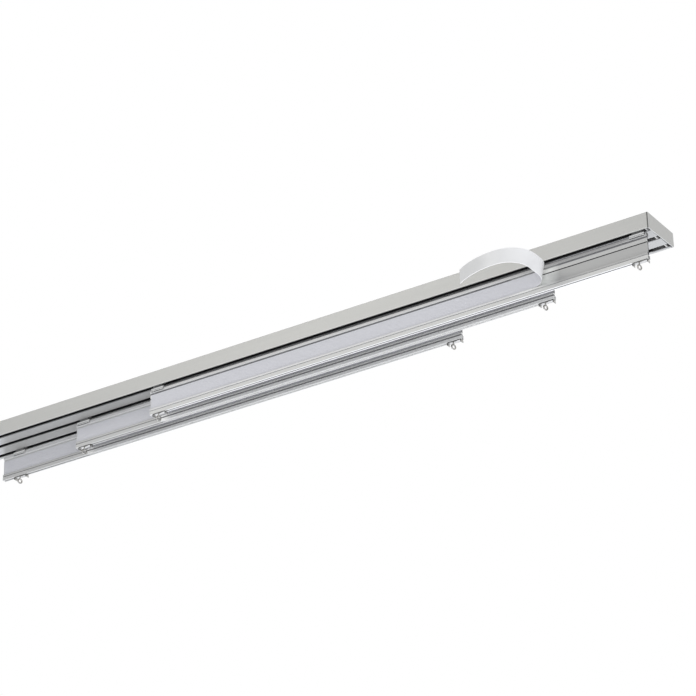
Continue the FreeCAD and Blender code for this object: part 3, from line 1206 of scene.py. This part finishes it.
@dataclass
class HookTape:
    """The strip of hook tape on a carrier's face: a woven ribbon with an adhesive back, and a field of hooks.

    Attributes:
        row: the row that it belongs to.
        width_mm: the ribbon's width.
        ribbon_mm: the ribbon's thickness.
        hook_mm: how far the hooks stand off it.
        bends: the part that is peeled off, or nothing where the tape is stuck down all along.
        bare_mm: how much of the carrier's right end the peeled part left bare.
        ease_mm: the length over which one bend goes over into the next.
        lean_degrees: how far the peeled part leans outwards where it is twisted the most.
        lean_share: the part of the peeled length that leans.
        rise_mm: how far its free end has risen.
        line_step_mm: the spacing of the line's points.
        step_mm: the spacing of the ribbon's rings.
        selvedge_mm: how much thicker half the ribbon is in its selvedges.
        selvedge_in_mm: how far a selvedge's middle is from the edge.
        selvedge_wide_mm: how wide a selvedge is.
        nose_mm: the width of the round nose along the edge.
        nose_least: the least value under the nose's root, which keeps the edge open.
        edge_points_mm: where the section's points are near an edge, from the edge inwards.
        flat_points: how many more points lie evenly between the two edges.
        flat_from_mm: how far from the edge those start.
        hook_pitch_mm: the spacing of the hooks along the ribbon.
        hook_row_mm: the spacing of the rows of hooks.
        hook_rows: how many rows there are.
        hook_sunk_mm: how deep the hooks' feet are in the ribbon.
        wire_mm: the radius of a hook's thread.
        hook_line: the thread's points: millimetres along the ribbon, and the height as a share of hook_mm.
        hook_taper: the thread's radius at each of them, as a share of wire_mm.
        hook_sides: how many sides it has.
    """

    row: Row
    width_mm: float = 16.0
    ribbon_mm: float = 0.55
    hook_mm: float = 0.65
    bends: tuple[Bend, ...] = ()
    bare_mm: float = 0.0
    ease_mm: float = 12.0
    lean_degrees: float = 0.0
    lean_share: float = 0.6
    rise_mm: float = 0.0
    line_step_mm: float = 0.25
    step_mm: float = 2.0
    selvedge_mm: float = 0.06
    selvedge_in_mm: float = 0.7
    selvedge_wide_mm: float = 0.5
    nose_mm: float = 0.2
    nose_least: float = 0.02
    edge_points_mm: tuple[float, ...] = (0.0, 0.06, 0.2, 0.5, 1.0, 1.6)
    flat_points: int = 9
    flat_from_mm: float = 2.4
    hook_pitch_mm: float = 1.5
    hook_row_mm: float = 1.5
    hook_rows: int = 9
    hook_sunk_mm: float = 0.06
    wire_mm: float = 0.09
    hook_line: tuple[tuple[float, float], ...] = (
        (0.0, -0.12),
        (0.0, 0.62),
        (0.12, 0.88),
        (0.36, 0.97),
        (0.52, 0.7),
    )
    hook_taper: tuple[float, ...] = (1.0, 1.0, 0.95, 0.85, 0.6)
    hook_sides: int = 3

    @property
    def node(self) -> str:
        """The node that the tape stands for."""
        return "tape_" + self.row.value

    def line(self) -> RibbonLine:
        """The ribbon's line: the turning per millimetre is constant over each bend and averaged over ease_mm,
        its running sum is the heading, and the running sum of the heading's direction is the line.

        Returns:
            The line, from the left end of the tape to its free end.
        """
        low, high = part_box(self.node)
        middle_z = high.z - self.width_mm / 2 * MM
        start_y = high.y - self.ribbon_mm / 2 * MM
        if self.bends:
            stuck_mm = (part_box(self.row.carrier)[1].x - low.x) / MM - self.bare_mm
        else:
            stuck_mm = (high.x - low.x) / MM
        lengths = [stuck_mm] + [bend.length_mm for bend in self.bends]
        turns = [0.0] + [math.radians(bend.turn_degrees) / bend.length_mm for bend in self.bends]
        total = sum(lengths)
        s = np.linspace(0, total, int(total / self.line_step_mm) + 1)
        gap = s[1] - s[0]
        number = np.minimum(np.searchsorted(np.cumsum(lengths), s, side="right"), len(lengths) - 1)
        turning = np.array(turns)[number]
        window = max(int(self.ease_mm / gap), 1)
        turning = np.convolve(np.pad(turning, window, mode="edge"), np.ones(window) / window, "same")
        turning = turning[window:-window]
        heading = -np.cumsum(turning) * gap
        heading -= heading[0]
        along = np.stack([np.cos(heading), np.sin(heading), np.zeros_like(heading)], axis=-1)
        place = np.cumsum(along, axis=0) * gap * MM
        place += np.array([low.x, start_y, middle_z]) - place[0]
        place[:, 2] += self.rise_mm * MM * np.clip((s - stuck_mm) / max(total - stuck_mm, 1.0), 0, 1)
        lean = self.lean(s, stuck_mm, total)
        side = np.stack([along[:, 1], -along[:, 0], np.zeros_like(heading)], axis=-1)
        upright = np.array([0.0, 0.0, 1.0])
        up = np.cos(lean)[:, None] * upright - np.sin(lean)[:, None] * side
        hook_side = np.cos(lean)[:, None] * side + np.sin(lean)[:, None] * upright
        return RibbonLine(s * MM, place, along, up, hook_side)

    def lean(self, s: np.ndarray, stuck_mm: float, total: float) -> np.ndarray:
        """The lean along the ribbon: a squared sine over the first part of the peeled length.

        Args:
            s: lengths along the ribbon in millimetres.
            stuck_mm: how much of it is stuck down.
            total: its whole length in millimetres.

        Returns:
            The angle at each length.
        """
        reach = (total - stuck_mm) * self.lean_share
        share = np.clip((s - stuck_mm) / max(reach, 1.0), 0, 1)
        return math.radians(self.lean_degrees) * np.sin(math.pi * share) ** 2

    def ribbon(self, line: RibbonLine) -> Shell:
        """The ribbon: a flat section with a thicker selvedge along each edge, carried along the line. Half
        its thickness is ribbon / 2 - rise + rise * exp(-(x / width)^2), with x the distance from the middle
        of the selvedge. The edge is a round nose, sqrt(1 - (n / nose)^2), with n the way into the nose.

        Args:
            line: the line of its middle.

        Returns:
            The closed skin, with finish 1 on its back, and its length and width as its UV map.
        """
        half = self.width_mm / 2
        edge = np.array(self.edge_points_mm) - half
        between = np.linspace(-half + self.flat_from_mm, half - self.flat_from_mm, self.flat_points)
        across = np.concatenate([edge, between, -edge[::-1]])
        off = (np.abs(across) - half + self.selvedge_in_mm) / self.selvedge_wide_mm
        thick = self.ribbon_mm / 2 - self.selvedge_mm + self.selvedge_mm * np.exp(-(off**2))
        outwards = ((np.abs(across) - half + self.nose_mm) / self.nose_mm).clip(0)
        height = thick * np.sqrt(np.clip(1 - outwards**2, self.nose_least, 1))
        w = np.concatenate([across, across[::-1]]) * MM
        h = np.concatenate([-height, height[::-1]]) * MM
        count = int(line.s[-1] / (self.step_mm * MM)) + 1
        s = np.linspace(0, line.s[-1], count)
        place, _, up, hook_side = line.at(s)
        rings = place[:, None] + w[None, :, None] * up[:, None] + h[None, :, None] * hook_side[:, None]
        shell = skin(rings)
        around = len(w)
        flat = np.stack(np.broadcast_arrays(s[:, None], w[None, :]), axis=-1)
        shell.uv = flat.reshape(-1, 2)
        back = np.arange(around) < around // 2 - 1
        shell.finish[: around * (count - 1)] = np.tile(back, count - 1)
        return shell

    def hooks(self, line: RibbonLine) -> Shell:
        """The hooks: one bent thread, a tube along its points that thins towards the tip, set in rows along
        the line. Every second row is shifted by half a pitch and its hooks are turned round.

        Args:
            line: the line of the ribbon's middle.

        Returns:
            The skins of all hooks as one shell.
        """
        thread = np.array(self.hook_line) * np.array([1.0, self.hook_mm])
        tangent = np.gradient(thread, axis=0)
        tangent /= np.linalg.norm(tangent, axis=1, keepdims=True)
        normal = np.stack([-tangent[:, 1], tangent[:, 0]], axis=-1)
        corner = np.arange(self.hook_sides) * 2 * math.pi / self.hook_sides
        thin = self.wire_mm * np.array(self.hook_taper)[:, None]
        a = thread[:, :1] + thin * normal[:, :1] * np.cos(corner)
        w = np.broadcast_to(-thin * np.sin(corner), a.shape)
        h = thread[:, 1:] + thin * normal[:, 1:] * np.cos(corner)
        hook = skin(np.stack([a, w, h], axis=-1))
        pitch = self.hook_pitch_mm * MM
        count = int((line.s[-1] - 2 * pitch) / pitch)
        rows = np.arange(self.hook_rows)
        s = pitch * (1 + np.arange(count)[:, None] + 0.5 * (rows[None, :] % 2))
        across = np.broadcast_to((rows - (self.hook_rows - 1) / 2) * self.hook_row_mm * MM, s.shape)
        way = np.broadcast_to(1 - 2 * (rows % 2), s.shape).ravel().astype(float)
        place, along, up, hook_side = line.at(s.ravel())
        place = place + up * across.reshape(-1, 1) + hook_side * (self.ribbon_mm / 2 - self.hook_sunk_mm) * MM
        frames = np.stack([along * way[:, None], up * way[:, None], hook_side], axis=1)
        points = place[:, None] + (hook.points * MM) @ frames
        repeats = len(place)
        shift = np.repeat(np.arange(repeats) * len(hook.points), len(hook.corners))
        corners = np.tile(hook.corners, repeats) + shift
        return Shell(
            points.reshape(-1, 3), corners, np.tile(hook.sizes, repeats), np.tile(hook.finish, repeats)
        )

    def build(self, materials: list[bpy.types.Material], thread: bpy.types.Material) -> None:
        """Args:
            materials: the ribbon's face and its back.
            thread: the hooks' material.
        """
        line = self.line()
        ribbon = make_piece("hook_ribbon_" + self.row.value, self.ribbon(line), materials, sharp_degrees=60.0)
        stand_in(ribbon, self.node, self.row.body)
        hooks = make_piece("hook_field_" + self.row.value, self.hooks(line), [thread], sharp_degrees=80.0)
        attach(hooks, self.row.body)


@dataclass
class Carriers:
    """The three panel carriers and their finishes. The grooves under the ridges of all three have painted
    shade. The feet of the middle and the rear one are painted brighter where the carrier in front shades
    them, a painted light. On the front one the adhesive has left a dull film on the bare face, which is
    painted brighter just beside the peel, a painted light. Its bead is darker towards the bare end and has
    painted shade along its upper edge. Its neck and the line scored across its face have painted shade, the
    face over that line a painted highlight, and the underside of its foot painted light. The gliders' necks
    are dark in the slots' shadow, a painted shade, as are the moulded lines along their cheeks and the
    cheeks' lower edges, and the rims and ends of their feet have a painted highlight. The saddles' sheared
    edges are dark, partly as bare steel and partly as painted shade.

    Attributes:
        aluminium: the finish of the middle and the rear extrusion.
        bared: the front extrusion's finish.
        woven: the ribbon's face.
        film: the ribbon's back.
        thread: the hooks.
        moulded: the gliders.
        foot_rim_highlight: the rims and ends of the gliders' feet, with a painted highlight.
        saddle_steel: the saddles.
        sheared: the saddles' sheared edges, dark as bare steel and with painted shade.
        eyelet_steel: the eyelets.
        peel: the bends of the front tape's peeled part.
    """

    aluminium: AnodisedAluminium = AnodisedAluminium(
        "bright_anodised_aluminium",
        "d8d8d7",
        0.55,
        metallic=0.4,
        patches=(
            # The foot, and painted shade in the groove over it
            Patch((0, 0, 40.8), (600, 30, 48.1), "c3c3c1"),
            Patch((0, 0, 43.1), (600, 30, 43.9), "5a5a5c", 0.6),
            # Painted light on the foot and painted shade in the groove over it, where the carrier in front
            # shades the middle one, then the rear one
            Patch((-5, -3, -48.1), (600, 3, -40.8), "f9f9f7", mirrored=False),
            Patch((-5, -3, -44.35), (600, 3, -42.8), "5a5a5c", 0.78, mirrored=False),
            Patch((-121, 17, -48.1), (600, 23, -40.8), "efefed", mirrored=False),
            Patch((-121, 17, -44.35), (600, 23, -42.8), "5a5a5c", 0.78, mirrored=False),
            # The foot's lower edge
            Patch((0, 0, 47.7), (600, 30, 48.1), "d5d5d3"),
        ),
    )
    bared: AnodisedAluminium = AnodisedAluminium(
        "anodised_aluminium_with_adhesive",
        "d8d8d7",
        0.55,
        metallic=0.4,
        patches=(
            # The bead, darker towards the bare end, and painted shade along its upper edge
            Patch((0, 0, 19.9), (594.6, 23, 22.5), "cfcfcd"),
            Patch((420, 0, 14), (640, 46, 27), "9e9e9d", soft=0.7),
            Patch((0, 0, 18.8), (594.6, 23, 19.9), "6a6a6c"),
            # Painted shade in the neck under the bead
            Patch((0, 0, 22.5), (600, 21.0, 24.3), "78787a"),
            # A painted highlight on the face over the scored line, and a weaker one where it is bare
            Patch((0, 20.8, 24.3), (594.6, 21.4, 28.6), "f1f1ee"),
            Patch((466, 20.8, 24.3), (594.6, 21.4, 28.6), "bdbdbb"),
            # The bare face under the line, dulled by the adhesive, and painted brighter beside the peel: a
            # painted light where the peel's shadow falls
            Patch((466, 20.8, 29.4), (594.6, 23, 43.2), "aeaeac"),
            Patch((440, 14, 22), (497, 28, 46), "e8e9e6", soft=0.5),
            # Painted shade in the scored line
            Patch((0, 20.8, 28.55), (594.6, 21.4, 29.7), "262628"),
            # Painted shade in the groove, the foot, and painted light on its underside
            Patch((0, 0, 43.2), (600, 23, 43.9), "6a6a6c", 0.6),
            Patch((0, 0, 43.9), (600, 23, 47.95), "cacac7"),
            Patch((0, 0, 47.95), (600, 23, 50), "ffffff"),
        ),
    )
    woven: WovenNylon = WovenNylon("woven_nylon_ribbon", "dadadc", 0.6)
    film: AdhesiveFilm = AdhesiveFilm("white_adhesive_film", "d4d4d2", 0.35)
    thread: NylonMonofilament = NylonMonofilament("nylon_monofilament", "dedee1", 0.3)
    moulded: MouldedPlastic = MouldedPlastic(
        "light_grey_acetal",
        "e4e4e1",
        0.45,
        patches=(
            # Painted shade on the neck in the slot's shadow, in the moulded line along the cheek, and along
            # the cheek's lower edge
            Patch((0, 0, 9), (600, 30, 18.3), "2c2c2c", 0.78),
            Patch((0, 0, 20.0), (600, 30, 20.7), "3c3c3c", 0.7),
            Patch((0, 0, 21.45), (600, 30, 22.0), "2c2c2c", 0.9),
        ),
    )
    # A painted highlight on the rims and ends of the gliders' feet
    foot_rim_highlight: MouldedPlastic = MouldedPlastic("light_grey_acetal_worn", "ecece9", 0.4)
    saddle_steel: BrightNickel = BrightNickel("nickelled_spring_steel", "b9b8b5", 0.3)
    # The saddles' sheared edges: darker than the plating, with painted shade of the gap under the foot
    sheared: BrightNickel = BrightNickel("sheared_spring_steel", "2e2d2c", 0.5)
    eyelet_steel: BrightNickel = BrightNickel("nickelled_pressed_steel", "b4b2ae", 0.2)
    peel: tuple[Bend, ...] = (Bend(33.0, 90), Bend(16.0, 0), Bend(40.8, 90), Bend(52.2, 34))

    def build(self) -> None:
        """Builds the three carriers and their tapes, and dresses the extrusions."""
        ribbon = [self.woven.material(), self.film.material()]
        thread = self.thread.material()
        moulded = [self.moulded.material(), self.foot_rim_highlight.material()]
        saddle = [self.saddle_steel.material(), self.sheared.material()]
        eyelet = [self.eyelet_steel.material()]
        stuck = self.aluminium.material()
        bared = self.bared.material()
        front_tape = HookTape(Row.FRONT, bends=self.peel, bare_mm=128.5, lean_degrees=23.0, rise_mm=1.1)
        for tape in (front_tape, HookTape(Row.MIDDLE), HookTape(Row.REAR)):
            dress(tape.row.carrier, bared if tape.bends else stuck)
            tape.build(ribbon, thread)
            for side in Side:
                Glider(tape.row, side).build(moulded)
                Saddle(tape.row, side).build(saddle)
                Eyelet(tape.row, side).build(eyelet)


# Studio


@dataclass(frozen=True)
class SoftLamp:
    """A soft rectangular lamp that the camera doesn't see itself.

    Attributes:
        name: its name.
        place: where it hangs.
        target: what it points at.
        size: its width and height.
        watts: its power.
        colour: its colour as sRGB hex.
    """

    name: str
    place: tuple[float, float, float]
    target: tuple[float, float, float]
    size: tuple[float, float]
    watts: float
    colour: str = "ffffff"

    def build(self) -> None:
        """Hangs the lamp."""
        light = bpy.data.lights.new(self.name, "AREA")
        light.shape = "RECTANGLE"
        light.size, light.size_y = self.size
        light.energy = self.watts
        light.color = linear(self.colour)[:3]
        lamp = bpy.data.objects.new(self.name, light)
        turn = (Vector(self.target) - Vector(self.place)).to_track_quat("-Z", "Y")
        lamp.matrix_world = Matrix.Translation(self.place) @ turn.to_matrix().to_4x4()
        lamp.visible_camera = False
        bpy.context.scene.collection.objects.link(lamp)


@dataclass(frozen=True)
class Viewpoint:
    """The photograph's camera, below the track and near its right end.

    Attributes:
        place: where it stands.
        azimuth_degrees: how far it looks to the left of straight on.
        rise_degrees: how far it looks up.
        roll_degrees: how far it is turned about its line of sight.
        lens_mm: its lens.
        sensor_mm: the width of its sensor.
        reach: the nearest and the farthest that it sees.
    """

    place: tuple[float, float, float] = (1.64053, -2.19846, -1.33890)
    azimuth_degrees: float = 32.6121
    rise_degrees: float = 26.6478
    roll_degrees: float = -1.51995
    lens_mm: float = 145.795
    sensor_mm: float = 36.0
    reach: tuple[float, float] = (0.05, 200.0)

    def build(self) -> None:
        """Sets the camera up and makes it the scene's."""
        angles = (self.azimuth_degrees, self.rise_degrees, self.roll_degrees)
        turn, rise, roll = (math.radians(angle) for angle in angles)
        ahead = Vector((-math.cos(rise) * math.sin(turn), math.cos(rise) * math.cos(turn), math.sin(rise)))
        right = ahead.cross(Vector((0, 0, 1))).normalized()
        up = right.cross(ahead)
        right, up = (
            right * math.cos(roll) + up * math.sin(roll),
            up * math.cos(roll) - right * math.sin(roll),
        )
        data = bpy.data.cameras.new("camera")
        data.sensor_width = self.sensor_mm
        data.lens = self.lens_mm
        data.clip_start, data.clip_end = self.reach
        camera = bpy.data.objects.new("camera", data)
        turned_axes = Matrix((right, up, -ahead)).transposed().to_4x4()
        camera.matrix_world = Matrix.Translation(self.place) @ turned_axes
        bpy.context.scene.collection.objects.link(camera)
        bpy.context.scene.camera = camera


@dataclass
class Studio:
    """A plain pale floor a room's height below the ceiling, a white surround and soft lamps.

    Attributes:
        floor_height: the floor's height.
        floor_half: half the floor's width.
        floor_colour: its own colour.
        floor_gloss: its colour as metal reflects it.
        fade_from: how far from the middle the floor starts to fade into the white surround.
        fade_to: how far out it is as white as the surround.
        white: the surround as the camera sees it.
        fill_colour: the colour of the surround's light on what isn't glossy.
        fill: the strength of that light.
        lamps: the soft lamps.
        viewpoint: the camera.
    """

    floor_height: float = -2.4
    floor_half: float = 40.0
    floor_colour: str = "e8e9ec"
    floor_gloss: str = "f0f3fa"
    fade_from: float = 2.5
    fade_to: float = 6.5
    white: str = "ffffff"
    fill_colour: str = "fbfcff"
    fill: float = 0.75
    lamps: tuple[SoftLamp, ...] = (
        SoftLamp("key_lamp", (-0.9, -1.88, 1.12), (0.3, 0.0, 0.0), (0.6, 1.0), 5.0, "fffdf8"),
        SoftLamp("under_lamp", (-0.45, 1.35, -0.85), (0.35, 0.0, 0.0), (1.5, 0.7), 3.6, "f6f8ff"),
        SoftLamp("side_lamp", (1.9, -2.1, -1.1), (0.2, 0.0, 0.0), (2.4, 1.8), 12.0, "fbfcff"),
        SoftLamp("low_lamp", (0.5, -0.7, -2.2), (0.2, 0.0, 0.0), (1.6, 1.0), 24.0, "fdfdff"),
    )
    viewpoint: Viewpoint = Viewpoint()

    def surround(self) -> None:
        """Makes the world: plain white to the camera and in reflections, and softer light otherwise."""
        world = bpy.data.worlds.new("surround")
        world.use_nodes = True
        tree = world.node_tree
        tree.nodes.clear()
        seen = self.seen_directly(tree)
        values = {"Color": linear(self.white), "Strength": 1.0}
        white = add_node(tree, "ShaderNodeBackground", inputs=values)
        values = {"Color": linear(self.fill_colour), "Strength": self.fill}
        fill = add_node(tree, "ShaderNodeBackground", inputs=values)
        values = {0: seen, 1: fill.outputs[0], 2: white.outputs[0]}
        mixed = add_node(tree, "ShaderNodeMixShader", inputs=values)
        add_node(tree, "ShaderNodeOutputWorld", inputs={"Surface": mixed.outputs[0]})
        bpy.context.scene.world = world

    def seen_directly(self, tree: bpy.types.NodeTree) -> bpy.types.NodeSocket:
        """Tells the rays from the camera, in a gloss or through glass from the rest.

        Args:
            tree: the world's node tree.

        Returns:
            An output that is 1 for these rays and 0 for the rest.
        """
        rays = add_node(tree, "ShaderNodeLightPath")
        camera, gloss = rays.outputs["Is Camera Ray"], rays.outputs["Is Glossy Ray"]
        either = add_node(tree, "ShaderNodeMath", {"operation": "MAXIMUM"}, {0: camera, 1: gloss}).outputs[0]
        clear = rays.outputs["Is Transmission Ray"]
        return add_node(tree, "ShaderNodeMath", {"operation": "MAXIMUM"}, {0: either, 1: clear}).outputs[0]

    def floor_material(self) -> bpy.types.Material:
        """Pale matt paint. Far out it fades into the white surround, reflections show its plain colour, and
        from below it isn't there, so that the track can be seen from underneath.

        Returns:
            The floor's material.
        """
        material = bpy.data.materials.new("pale_matt_paint")
        material.use_nodes = True
        tree = material.node_tree
        tree.nodes.clear()
        place = add_node(tree, "ShaderNodeTexCoord").outputs["Object"]
        length = add_node(tree, "ShaderNodeVectorMath", {"operation": "LENGTH"}, {0: place}).outputs["Value"]
        values = {"Value": length, "From Min": self.fade_from, "From Max": self.fade_to}
        far = add_node(tree, "ShaderNodeMapRange", {"interpolation_type": "SMOOTHSTEP"}, values)
        rays = add_node(tree, "ShaderNodeLightPath")
        paint = add_node(tree, "ShaderNodeBsdfDiffuse", inputs={"Color": linear(self.floor_colour)})
        white, plain = (
            add_node(tree, "ShaderNodeEmission", inputs={"Color": linear(colour), "Strength": 1.0})
            for colour in (self.white, self.floor_gloss)
        )
        clear = add_node(tree, "ShaderNodeBsdfTransparent")
        values = {0: far.outputs["Result"], 1: rays.outputs["Is Camera Ray"]}
        faded = add_node(tree, "ShaderNodeMath", {"operation": "MULTIPLY"}, values).outputs[0]
        under = add_node(tree, "ShaderNodeNewGeometry").outputs["Backfacing"]
        shown = paint
        for share, other in ((faded, white), (rays.outputs["Is Glossy Ray"], plain), (under, clear)):
            values = {0: share, 1: shown.outputs[0], 2: other.outputs[0]}
            shown = add_node(tree, "ShaderNodeMixShader", inputs=values)
        add_node(tree, "ShaderNodeOutputMaterial", inputs={"Surface": shown.outputs[0]})
        return material

    def floor(self) -> None:
        """Lays the floor, one large quad."""
        half = self.floor_half
        sides = np.array([(-1, -1), (1, -1), (1, 1), (-1, 1)], float) * half
        points = np.column_stack([sides, np.full(4, self.floor_height)])
        shell = Shell(points, np.arange(4), np.array([4]), np.array([0]))
        piece = make_piece("floor", shell, [self.floor_material()])

    def build(self) -> None:
        """Sets up the camera, the surround, the floor and the lamps."""
        self.viewpoint.build()
        self.surround()
        self.floor()
        for lamp in self.lamps:
            lamp.build()
        bpy.context.scene.view_settings.view_transform = "Standard"


def main() -> None:
    """Builds the studio and dresses the track, one sub-assembly after the other."""
    logging.basicConfig(level=logging.INFO, format="%(name)s: %(message)s")
    Studio().build()
    Track().build()
    Carriers().build()


if __name__ == "__main__":
    main()
